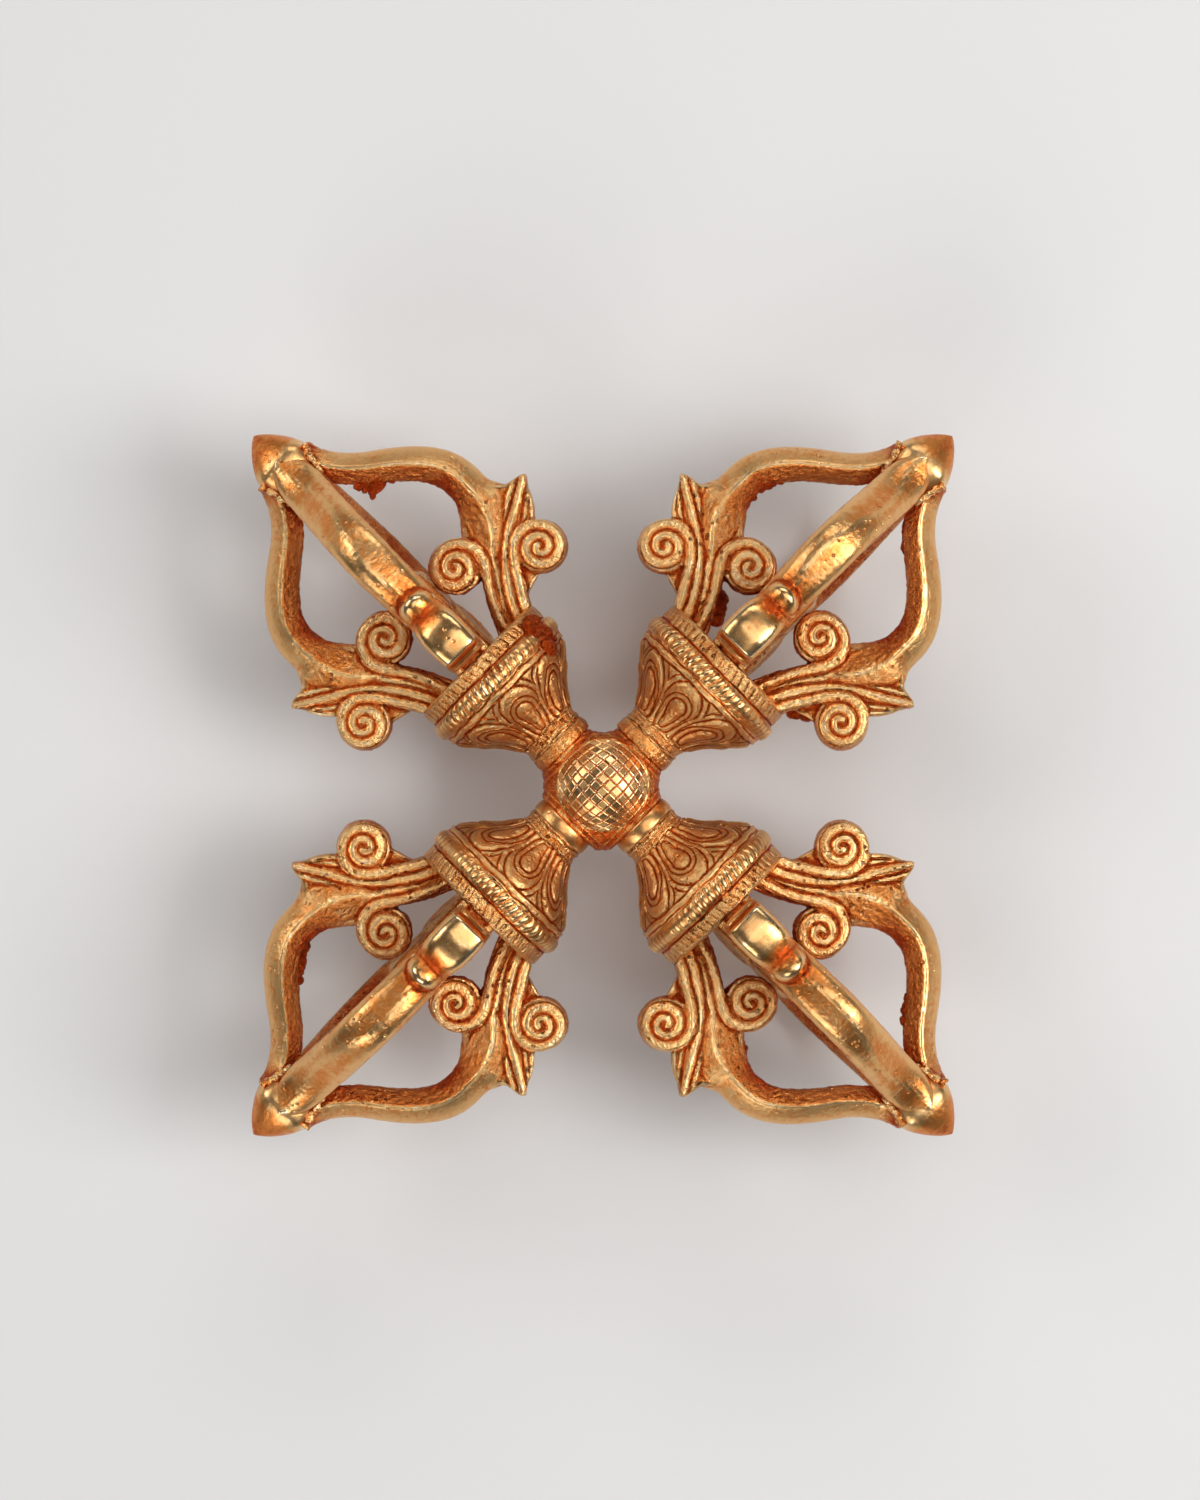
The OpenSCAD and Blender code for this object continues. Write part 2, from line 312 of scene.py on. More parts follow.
VOXEL = 0.152
STEM_FOOT = -72
STEM_COUNT = 22
COIL_ENTRY = 0.12
COIL_TURN = 760
COIL_COUNT = 40
COIL_END_R = 0.2
PLATE_R, PLATE_EDGE_R = 2.8, 2.56
PLATE_DEPTH, PLATE_RISE = 1.84, 0.89
ARCH_STEPS = 14
ARCH_COUNT = 44
ARCH_END_X, ARCH_END_LENGTH = 42.5, 3.9
RIB_COUNT = 16
SOLDER_COUNT = 17

# Strand of a scroll: number of points, half widths, half heights and height of its middle
CURL = (110, (0.6, 0.4), (0.56, 0.4), 1.66)

# Plates between the scrolls and of the leaf, as outlines
ROOT_PLATE = (
    (18.9, 7.9), (19.6, 10.4), (21, 10.4), (22.4, 9.9), (23.9, 12.6), (25.6, 13.4), (26.5, 9.6), (23, 8),
)
LEAF_PLATE = (
    (23.2, 11.4), (23.8, 13.5), (24.6, 14.4), (25.8, 14.95), (27, 16.15), (27.8, 16.75), (28.2, 16.2),
    (28.4, 14.7), (29.2, 13.7), (29, 11.6), (26, 10),
)

# Ribs of the leaf: root, tip and bow
RIBS = (
    ((23.75, 13.3), (26.6, 15.75), 0.3), ((24.0, 12.5), (27.2, 16.1), 0.25),
    ((24.35, 11.7), (27.6, 16.2), 0.15), ((25.7, 11.4), (28.1, 15.4), -0.1),
)


def coil(centre, start, turn, radii, count):
    """Points of a spiral: it closes in from the first radius to the second, then winds on to the third."""
    found = []
    for i in range(count + 1):
        t = i / count
        if t < COIL_ENTRY:
            r = mix(radii[0], radii[1], t / COIL_ENTRY)
        else:
            r = mix(radii[1], radii[2], (t - COIL_ENTRY) / (1 - COIL_ENTRY))
        found.append(polar(centre, r, start + turn * t))
    return found


def lifted(points, z):
    return [flat(p.x, p.y, z) for p in points]


def arc(radius, first, last, count):
    return [polar(STEM_CENTRE, radius, mix(first, last, i / (count - 1))) for i in range(count)]


def strand(bm, points, count, wide=(0.56, 0.56), high=(0.56, 0.5), z=1.6):
    """Rounded strand on both faces of the prong."""
    path = through(points, count)
    for sign in (1, -1):
        tube(bm, lifted(path, z * sign), ramp(*wide, count), ramp(*high, count), 16, 1.35, 1.05)


def disc(bm, centre, size=1.0):
    """Round plate with drafted sides."""
    for sign in (1, -1):
        turn = Matrix.Rotation(0 if sign > 0 else math.pi, 4, "X")
        bmesh.ops.create_cone(bm, cap_ends=True, segments=64, radius1=PLATE_R * size,
                              radius2=PLATE_EDGE_R * size, depth=PLATE_DEPTH,
                              matrix=Matrix.Translation(centre + UP * PLATE_RISE * sign) @ turn)


def arch_ring(centre, out, half_w, half_h, filed):
    """Ridged section, wider near the root. The filed one has a low roof with a winding ridge outside."""
    start = float(smooth_step(23.5, 26, centre.x))
    root = float(smooth_step(30.5, 28.8, centre.x)) * start
    inner = float(smooth_step(31.5, 27.0, centre.x)) * start
    sway = 0.3 * math.sin((centre.x - 35) * 0.45)
    ring = []
    for j in range(ARCH_COUNT):
        a = math.tau * j / ARCH_COUNT
        c, s = math.cos(a), math.sin(a)
        z = signed_power(s, 0.85 if filed else 1.12)
        if c < 0:
            y = -c * c * (1 + 0.5 * inner)
        elif filed:
            y = (1 - 0.33 * abs(z - sway)) * math.sqrt(max(0.0, 1 - abs(z) ** 7))
        else:
            y = c * c * (1 + 0.5 * root)
        ring.append(centre + out * (half_w * y) + UP * (half_h * z))
    return ring


def arch_rings(filed):
    rings = []
    for k, (path, wide, thick) in enumerate(ARCH):
        pts = [bezier(path, i / ARCH_STEPS) for i in range(ARCH_STEPS + 1)]
        for i, (p, o) in enumerate(zip(pts, outs(pts))):
            if i == ARCH_STEPS and k < len(ARCH) - 1:
                continue
            half_h = mix(*thick, i / ARCH_STEPS)
            if filed and p.x > ARCH_END_X:
                half_h *= math.sqrt(max(0.02, 1 - ((p.x - ARCH_END_X) / ARCH_END_LENGTH) ** 2))
            rings.append(arch_ring(p, o, mix(*wide, i / ARCH_STEPS), half_h, filed))
    return rings


def stem(bm, filed):
    """Body with drafted sides, and strands that part for the two scrolls and the arch."""
    body = arc(STEM_R + 0.55, STEM_FOOT, -40, STEM_COUNT)
    tube(bm, body, ramp(2.0, 2.15, STEM_COUNT), [1.7] * STEM_COUNT, 28, 0.5, 0.45)
    heart, size = (flat(21.2, 12.3), 0.72) if filed else (OUTER, 1.0)
    disc(bm, heart, size)
    disc(bm, INNER)
    outer = arc(STEM_R - STRAND_STEP, STEM_FOOT, -55, 5) + [flat(21.7, 9.3), flat(22.75, 10.05)]
    outer += coil(heart, -38, COIL_TURN, (2.72 * size, 2.2 * size, COIL_END_R), COIL_COUNT)
    strand(bm, outer, *CURL)
    inner = [flat(17.2, 4.3), flat(18.6, 4.6), flat(20.3, 5.15)]
    inner += [flat(22, 5.95), flat(23.3, 6.8), flat(24.3, 7.45)]
    inner += coil(INNER, 106, -COIL_TURN, (2.85, 2.2, COIL_END_R), COIL_COUNT)
    strand(bm, inner, *CURL)
    to_arch = arc(STEM_R + STRAND_STEP, STEM_FOOT, -50, 6) + [flat(24.1, 8.5)]
    strand(bm, to_arch, 40, (0.66, 0.5), (0.44, 0.3))
    # Fillet between the inner scroll and the arch
    fillet = through([flat(25.6, 7.4), flat(27.1, 8.3), flat(28.6, 9.5), flat(30.4, 10.4)], 16)
    tube(bm, fillet, ramp(1.25, 0.55, 16), ramp(1.4, 0.8, 16), 20, 0.9, 0.9)
    slab(bm, ROOT_PLATE, 1.3)


def filed_block(bm):
    """Block over the outer scroll with a lip and two filed facets, and past a dip the worn hump."""
    rings = []
    depth = 2.0
    for x, y, half in BLOCK:
        soft = mix(0.58, 0.95, float(smooth_step(23.4, 25.2, x)))
        rings.append(section(flat(x, y - depth), flat(0, 1), depth, half, 40, soft, soft))
    sweep(bm, rings)


def leaf(bm):
    """Broad leaf with a blunt point, whose edge runs on into the arch, and ribs beside its ridge."""
    slab(bm, LEAF_PLATE, 1.15)
    shares = ramp(0, 1, RIB_COUNT)
    for root, tip, bow in RIBS:
        a, b = flat(*root), flat(*tip)
        rib = [mix(a, b, t) + flat(-0.7, 0.7) * bow * 4 * t * (1 - t) for t in shares]
        for sign in (1, -1):
            pts = [flat(q.x, q.y, sign * mix(1.3, 1.1, t)) for q, t in zip(rib, shares)]
            tube(bm, pts, ramp(0.34, 0.22, RIB_COUNT), ramp(0.5, 0.24, RIB_COUNT), 12, 1.3)


def solder(bm):
    """Crumbs in the corner beside the next prong, and along the joint with the point."""
    corner = through([flat(46.0, 3.25), flat(45.2, 2.85), flat(44.2, 2.55), flat(42.7, 2.35)], 22)
    for i, at in enumerate(corner):
        for sign in (1, -1):
            lump = noise.noise_vector((i * 0.81, 5.2 * sign, 1.4))
            off = flat(0.4 * lump.x, 0.25 * lump.y, sign * (2.05 + 0.3 * lump.z))
            ball(bm, at + off, 0.36 + 0.22 * lump.y)
    for i in range(SOLDER_COUNT):
        lump = noise.noise_vector((i * 0.73, 2.1, 8.4))
        across = mix(-2.2, 2.2, i / (SOLDER_COUNT - 1))
        ball(bm, flat(45.75 + 0.4 * lump.x, 2.95 + 0.3 * lump.y, across), 0.42 + 0.2 * lump.z)


def prong(name, filed):
    bm = bmesh.new()
    sweep(bm, arch_rings(filed))
    stem(bm, filed)
    ridge = arc(STEM_R, STEM_FOOT, -47, 7)
    if filed:
        strand(bm, ridge + [flat(24.5, 10.9), flat(25.4, 12.2)], 40)
        filed_block(bm)
    else:
        ridge += [flat(24.6, 11.0), flat(25.75, 13.0), flat(26.8, 14.8), flat(27.85, 16.5)]
        strand(bm, ridge, 60, (0.84, 0.36), (0.66, 0.5), 1.5)
        leaf(bm)
        solder(bm)
    mesh = cast(bm, name, VOXEL, 1)
    planes = [((FACE_X, 0, 0), (-1, 0, 0)), ((0, CORE_W, 0), (0, -1, 0))]
    if not filed:
        planes.append(((POINT_X + 0.1, 0, 0), (1, 0.12, 0)))
    cut_flat(mesh, planes)
    return mesh


# Lotus cup

CUP_STEPS = 420
PETALS = 8
BEADS = 60
MARKS = 54
NECK_X, NECK_R = 8.0, 3.3
FLARE_LENGTH, FLARE_R = 6.4, 8.0
BEAD_START, BEAD_MID, BEAD_END = 14.35, 15.27, 16.2
BORE_RING_R = 2.6


def flare(x):
    t = np.clip((np.asarray(x, float) - NECK_X) / FLARE_LENGTH, 0, 1)
    return mix(NECK_R, FLARE_R, t - 0.08 * np.sin(math.tau * t))


def cup_radius(x):
    if x < NECK_X:
        return NECK_R - 0.12 * math.sin(math.pi * (x - COLLAR_END) / 1.4)
    if x < BEAD_START:
        return float(flare(x))
    if x < BEAD_END:
        return 7.76 + 0.6 * math.sqrt(max(0.0, 1 - ((x - BEAD_MID) / 0.93) ** 2))
    return 7.88 - 0.25 * max(0.0, (x - 17.7) / 0.3) ** 2


def tongue_distance(along, across, start, end, r0, r1):
    """Signed distance to a tongue that widens from r0 to r1 and is round at both ends."""
    h = end - start
    x = np.abs(across)
    y = along - start
    b = (r0 - r1) / h
    a = math.sqrt(1 - b * b)
    k = -x * b + y * a
    side = x * a + y * b - r0
    return np.where(k < 0, np.hypot(x, y) - r0, np.where(k > a * h, np.hypot(x, y - h) - r1, side))


def line(d, width):
    return np.exp(-(d / width) ** 2)


def spacing(turns, radius, count):
    """Distance to the nearest of count even marks round a circle, where turns counts the marks passed."""
    return (turns - np.round(turns)) * math.tau * radius / count


def cup_relief(x, angle):
    """Height of the cup's carving in millimetres, and how deep in a chased line it lies, from 0 to 1."""
    pitch = math.tau / PETALS
    phi = (angle + pitch / 2) % pitch - pitch / 2
    r = flare(x)
    across = r * phi
    petal = tongue_distance(x, across, 8.3, 11.5, 0.8, 1.95)
    pad = tongue_distance(x, across, 8.75, 10.9, 0.36, 0.86)
    on_flare = smooth_step(7.95, 8.2, x) * (1 - smooth_step(13.3, 13.6, x))
    seam = r * (pitch / 2 - np.abs(phi))
    h = 0.2 * smooth_step(0.14, -0.25, petal) + 0.16 * smooth_step(0.1, -0.5, pad)
    h = h + 0.14 * line(petal - 0.45, 0.17) * smooth_step(10.6, 11.4, x)
    h = h + 0.16 * line(seam, 0.2) * (1 - smooth_step(12.0, 12.9, x))
    chased = np.maximum(line(pad - 0.06, 0.1), 0.8 * line(pad - 0.62, 0.09))
    chased = np.maximum(chased, line(petal - 0.08, 0.1) * (seam > 0.2))
    chased = np.maximum(chased, 0.8 * line(petal - 0.78, 0.1) * smooth_step(11.0, 12.0, x)) * on_flare
    # Rib under the beads between two chased lines
    h = h * on_flare + 0.18 * line(x - 13.75, 0.15)
    chased = np.maximum(chased, np.maximum(0.8 * line(x - 14.15, 0.1), 0.9 * line(x - 13.42, 0.09)))
    # Slanting cuts between the beads, of uneven depth, and the marks on the rim
    on_beads = smooth_step(BEAD_START, 14.6, x) * (1 - smooth_step(16.0, BEAD_END, x))
    cuts = line(spacing(BEADS * angle / math.tau + 0.28 * (x - BEAD_MID), 8.2, BEADS), 0.14)
    h = h - (0.2 + 0.12 * np.sin(3 * angle + 0.8)) * cuts * on_beads
    on_rim = smooth_step(16.5, 16.65, x) * (1 - smooth_step(17.5, 17.7, x))
    h = h - 0.1 * line(spacing(MARKS * angle / math.tau - 0.25 * (x - 17), 7.8, MARKS), 0.13) * on_rim
    # Lines under the rim and round the neck
    chased = np.maximum(chased, np.maximum(line(x - 16.3, 0.14), 0.5 * line(x - 6.75, 0.1)))
    h = h + 0.1 * line(x - 7.0, 0.11) + 0.1 * line(x - 7.85, 0.11)
    return h - 0.13 * chased, chased


def cup(name):
    fine = 0.105
    below, beaded = np.arange(COLLAR_END, BEAD_START, fine), np.arange(BEAD_START, FACE_X - 0.05, fine * 0.9)
    profile = [(float(x), float(cup_radius(x))) for x in (*below, *beaded, FACE_X)]
    profile += [(FACE_X, r) for r in (7.0, 5.5, 4.0, BORE_RING_R, TANG_R)]
    profile += [(COLLAR_END, TANG_R), (COLLAR_END, BORE_RING_R)]
    mesh = to_mesh(lathe(profile, CUP_STEPS), name)
    co = coords(mesh)
    r = np.hypot(co[:, 1], co[:, 2])
    angle = np.arctan2(co[:, 1], co[:, 2])
    wall = (r > BORE_RING_R + 0.1) & (co[:, 0] < FACE_X - 0.05)
    wobble = grain(co, 1.8, 21.0) * 0.2
    h, chased = cup_relief(co[:, 0] + wobble, angle + wobble / np.maximum(r, 2))
    h, chased = np.where(wall, h, 0), np.where(wall, chased, 0)
    # On the flare the carving stands out at right angles to the slope
    tilt = np.where((co[:, 0] > 8.2) & (co[:, 0] < 14), 0.6, 0.0)
    co[:, 0] -= h * tilt
    co[:, 1:] += co[:, 1:] / np.maximum(r, 0.1)[:, None] * (h * np.sqrt(1 - tilt ** 2))[:, None]
    set_coords(mesh, co)
    return mesh, chased


# Hub, collar and central prong

CELL = math.radians(10.6)
CELLS = 14
STOPS = (0.0, 0.05, 0.1, 0.22, 0.5, 0.78, 0.9, 0.95)
CUT_SHARE, CUT_DEPTH = 0.1, 0.1
SQUARE_LEAN = 0.07
NECK_BENDS = (6.3, 7.8, 9.3, 7.0)
NECK_ROOT_R = 2.75
SHOULDER_X, HEAD_X = 41.3, 43.5
HEAD_R = 3.15
POINT_STEPS = 26


def quarter(k):
    return Matrix.Rotation(math.pi / 2 * k, 3, "Z")


def engraved_cap():
    """Upper cap of the ball: flat squares between two sets of chisel lines that run from neck to neck."""
    bm = bmesh.new()
    count = CELLS * len(STOPS)
    bmesh.ops.create_grid(bm, x_segments=count, y_segments=count, size=CELLS / 2)

    def stop(value):
        step = round((value + CELLS / 2) * len(STOPS))
        return step // len(STOPS) - CELLS / 2, STOPS[step % len(STOPS)]

    def ray_to(u, w):
        return Vector((math.tan(u * CELL), math.tan(w * CELL), 1)).normalized()

    for v in bm.verts:
        (iu, fu), (iw, fw) = stop(v.co.x), stop(v.co.y)
        cu, cw = min(iu, CELLS / 2 - 1) + 0.5, min(iw, CELLS / 2 - 1) + 0.5
        centre = ray_to(cu, cw)
        lean = noise.noise_vector((cu * 1.7, cw * 1.7, 4.2))
        face = (centre + lean * SQUARE_LEAN).normalized()
        ray = ray_to(iu + fu, iw + fw)
        flat_r = BALL_R * 0.9985 * centre.dot(face) / max(ray.dot(face), 0.2)
        off_line = min(fu, 1 - fu, fw, 1 - fw) / CUT_SHARE
        v.co = ray * (mix(BALL_R, flat_r, min(1.0, off_line)) - CUT_DEPTH * max(0.0, 1 - off_line))
    rim = [e for e in bm.edges if e.is_boundary]
    made = bmesh.ops.extrude_edge_only(bm, edges=rim)["geom"]
    bmesh.ops.pointmerge(bm, verts=verts_in(made), merge_co=(0, 0, 0))
    return bm


def hub_mesh():
    bm = bmesh.new()
    bmesh.ops.create_uvsphere(bm, u_segments=96, v_segments=64, radius=BALL_R - 0.25)
    for k, bend in enumerate(NECK_BENDS):
        turn = quarter(k)
        rings = []
        for i in range(13):
            a = math.radians(mix(188, 262, i / 12))
            centre = flat(bend + bend * math.cos(a), bend + bend * math.sin(a))
            away = flat(math.cos(a), math.sin(a))
            rings.append([turn @ p for p in section(centre, away, NECK_ROOT_R, NECK_ROOT_R, 28)])
        sweep(bm, rings)
    webs = cast(bm, "webs", 0.13, 2)
    cut_flat(webs, [(quarter(k) @ flat(SEAT_X, 0), quarter(k) @ flat(1, 0)) for k in range(len(ARMS))])
    # Turned lines round each neck root
    co = coords(webs)
    reach = np.max(np.abs(co[:, :2]), axis=1)
    lift = 0.1 * line(reach - 4.35, 0.1) + 0.09 * line(reach - 4.9, 0.1)
    set_coords(webs, co + normals(webs) * lift[:, None])
    cap = to_mesh(engraved_cap(), "cap")
    bm = bmesh.new()
    bm.from_mesh(webs)
    bm.from_mesh(cap)
    cap.transform(Matrix.Rotation(math.pi, 4, "X"))
    bm.from_mesh(cap)
    return to_mesh(bm, "hub")


def collar(name):
    profile = [(SEAT_X, TANG_R), (SEAT_X, 3.05)]
    profile += [(SEAT_X + 0.7 - 0.69 * math.cos(a), 3.14 + 0.22 * math.sin(a) ** 0.6)
                for a in np.linspace(0.02, math.pi - 0.02, 18)]
    profile += [(COLLAR_END, 3.05), (COLLAR_END, TANG_R)]
    return to_mesh(lathe(profile, 180), name)


def central(name):
    bm = bmesh.new()

    def ring(x, half, soft):
        pts = []
        for j in range(64):
            a = math.tau * j / 64
            y, z = signed_power(math.cos(a), soft), signed_power(math.sin(a), soft)
            pts.append(Vector((x, half * y, half * z)))
        return pts

    rings = [ring(2.1, TANG_R, 1), ring(FACE_X, TANG_R, 1)]
    for x in np.linspace(19, 41, 12):
        rings.append(ring(x, TANG_R + 0.3 * math.sin(math.pi * (x - FACE_X) / 23.5), 1))
    for x in np.linspace(SHOULDER_X, HEAD_X, 8):
        t = (x - SHOULDER_X) / 2.2
        rings.append(ring(x, mix(1.7, 2.6, t ** 0.8), mix(1.0, 0.7, t)))
    for x in np.linspace(HEAD_X + 0.2, POINT_X, 10):
        t = (x - HEAD_X) / 2.5
        rings.append(ring(x, mix(2.6, HEAD_R, math.sin(t * math.pi / 2)), mix(0.7, 0.66, t)))
    for i in range(1, POINT_STEPS + 1):
        t = 1 - (1 - i / POINT_STEPS) ** 1.6
        half = max(0.05, HEAD_R * (1 - t ** 1.35) ** 0.78)
        rings.append(ring(mix(POINT_X, TIP_X, t), half, mix(0.66, 0.9, t)))
    sweep(bm, rings)
    return to_mesh(bm, name)


# How open each surface is: rays that leave it without meeting another piece within a few millimetres

SCALE = Matrix.Scale(0.001, 4)
RAY_START, RAY_LENGTH = 0.4, 7.0


def on_arm(i, turn=0.0):
    return (Matrix.Translation((0, 0, MID)) @ Matrix.Rotation(math.pi / 2 * i, 4, "Z")
            @ Matrix.Rotation(turn + ROLL, 4, "X"))


def blockers():
    """Solids round the hub and the east arm. The west arm is left out."""
    verts, faces = [], []
    for node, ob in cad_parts.items():
        if node.split("_")[-1] == "west" or "_west_" in node:
            continue
        base = len(verts)
        verts += [v.co * 1000.0 for v in ob.data.vertices]
        faces += [tuple(base + k for k in p.vertices) for p in ob.data.polygons]
    return BVHTree.FromPolygons(verts, faces)


def ray_set(count):
    golden = math.pi * (3 - math.sqrt(5))
    found = []
    for i in range(count):
        z = 1 - 2 * (i + 0.5) / count
        r = math.sqrt(1 - z * z)
        found.append(Vector((r * math.cos(golden * i), r * math.sin(golden * i), z)))
    return found


TREE = blockers()
RAYS = ray_set(18)


def openness(mesh, place):
    turn = place.to_3x3()
    got = np.empty(len(mesh.vertices))
    for i, v in enumerate(mesh.vertices):
        n = (turn @ v.normal).normalized()
        p = place @ v.co + n * RAY_START
        free = total = 0.0
        for d in RAYS:
            c = d.dot(n)
            if c < 0:
                d, c = -d, -c
            hit, face_n, _, _ = TREE.ray_cast(p, d, RAY_LENGTH)
            total += c
            if hit is None or face_n.dot(d) > 0:
                free += c
        got[i] = free / total
    return blurred(mesh, got, 3)


def levelled(values):
    """Values brought to about -1 to 1, whatever the mesh's density."""
    return np.clip(values / max(np.percentile(np.abs(values), 92), 1e-6), -1, 1)


def finish_surface(mesh, place, inward, polish, worn=0.3):
    """Stores where the red colouring of the hollows lies, partly painted shade where neighbouring pieces
    close in, and where the gilding is rubbed bright, partly as a painted highlight.
    """
    fine = 0.3 / VOXEL
    small = levelled(hollow(mesh, max(2, int(3 * fine))))
    wide = levelled(hollow(mesh, max(4, int(16 * fine))))
    shut_patina_and_shade = 1 - openness(mesh, place)
    # Places closed in by neighbouring pieces get more red patina colour and less polish: partly patina,
    # partly painted shade between the pieces
    store(mesh, "recess", 0.3 + 0.26 * small + 0.22 * wide + 0.6 * np.clip(shut_patina_and_shade - 0.3, 0, 1) + inward)
    # Protruding places are polished more and hollows less, for the pale rubbed colour: partly wear, partly a
    # painted highlight on the ridges
    polish = polish - worn * np.clip(small, 0, 1) + worn * np.clip(-small, 0, 1)
    store(mesh, "polish", polish - 0.5 * np.clip(shut_patina_and_shade - 0.4, 0, 1))


def finished_prong(name, filed):
    mesh = prong(name, filed)
    no, co = normals(mesh), coords(mesh)
    x, y = co[:, 0], co[:, 1]
    arch = smooth_step(27.5, 30, x)
    inward = 0.18 * smooth_step(0.1, 0.5, -no[:, 1]) + 0.4 * smooth_step(0.55, 0.95, -no[:, 1])
    inward = inward * arch + 0.22 * smooth_step(0.75, 0.3, np.abs(no[:, 2])) * (1 - arch)
    if filed:
        up = smooth_step(0.45, 0.95, no[:, 1]) * smooth_step(13.0, 13.5, y)
        block = smooth_step(18.95, 19.4, x) * smooth_step(23.9, 22.9, x)
        crown = smooth_step(25.5, 26.1, x) * smooth_step(27.3, 27.0, x) * smooth_step(-0.1, 0.5, no[:, 0])
        head = smooth_step(27.5, 26.5, x) * smooth_step(11.8, 12.6, y)
        # Upward faces of the block and its crown get less patina and take the pale rubbed colour: partly
        # filed wear, partly a painted highlight
        inward += 0.12 - up * (0.3 * block + 0.4 * crown) + 0.08 * head * (1 - block)
        inward += 0.6 * smooth_step(0.5, 0.2, no[:, 1]) * smooth_step(42.6, 43.2, x)
        outside = smooth_step(-0.1, 0.4, no[:, 1]) * smooth_step(9, 12, y + 8 * smooth_step(36, 40, x))
        bright = (0.7 + 0.04 * head + 0.16 * block * head + 0.1 * crown) * outside
    else:
        inward += 0.4 * smooth_step(43.4, 45.4, x)
        bright = 0.5 * smooth_step(-0.3, 0.4, no[:, 1]) * arch + 0.12
        bright *= 1 - smooth_step(42.5, 44.5, x)
    finish_surface(mesh, on_arm(0, math.pi / 2 if filed else 0.0), inward, bright)
    return mesh


def finished_cup():
    mesh, chased = cup("lotus_cup")
    x = coords(mesh)[:, 0]
    bright = 0.1 + 0.3 * smooth_step(7.9, 8.3, x) + 0.4 * smooth_step(14.3, 14.5, x)
    finish_surface(mesh, on_arm(0), 0.6 * chased - 0.05, bright - 0.6 * smooth_step(16.1, 16.4, x))
    return mesh


def finished_rod():
    mesh = central("central_prong")
    x = coords(mesh)[:, 0]
    inward = 0.2 + 0.16 * smooth_step(46.6, 47.2, x)
    finish_surface(mesh, on_arm(0), inward, 0.5 * smooth_step(41, 43, x))
    return mesh


def finished_ring():
    mesh = collar("neck_collar")
    finish_surface(mesh, on_arm(0), 0.0, np.full(len(mesh.vertices), 0.8))
    return mesh


def finished_hub():
    mesh = hub_mesh()
    co = coords(mesh)
    far = np.linalg.norm(co, axis=1)
    on_ball = smooth_step(BALL_R - 0.3, BALL_R - 0.2, far) * smooth_step(2.6, 3.0, np.abs(co[:, 2]))
    chased = smooth_step(BALL_R - 0.02, BALL_R - 0.12, far) * on_ball
    inward = 0.35 * (1 - on_ball) - 0.06 * on_ball + 0.6 * chased
    finish_surface(mesh, Matrix.Translation((0, 0, MID)), inward, on_ball, 0.0)
    return mesh


# Gilding, from rubbed bright, partly a painted highlight, to red and dark in the hollows, partly painted
# shade between pieces

# The rubbed colour is partly rubbed gilding and partly a painted highlight
RUBBED_AND_HIGHLIGHT = (0.87, 0.67, 0.42, 1)
GOLD = (0.79, 0.45, 0.175, 1)
WARM_GOLD = (0.72, 0.25, 0.056, 1)
# Red and dark patina colours, partly painted shade where neighbouring pieces close in
RED_PATINA_AND_SHADE = (0.5, 0.072, 0.01, 1)
DARK_PATINA_AND_SHADE = (0.2, 0.03, 0.008, 1)
PIT_COLOUR = (0.36, 0.08, 0.02, 1)
PIT_SPACING = 0.0009
BUMP_DEPTH = 0.00038


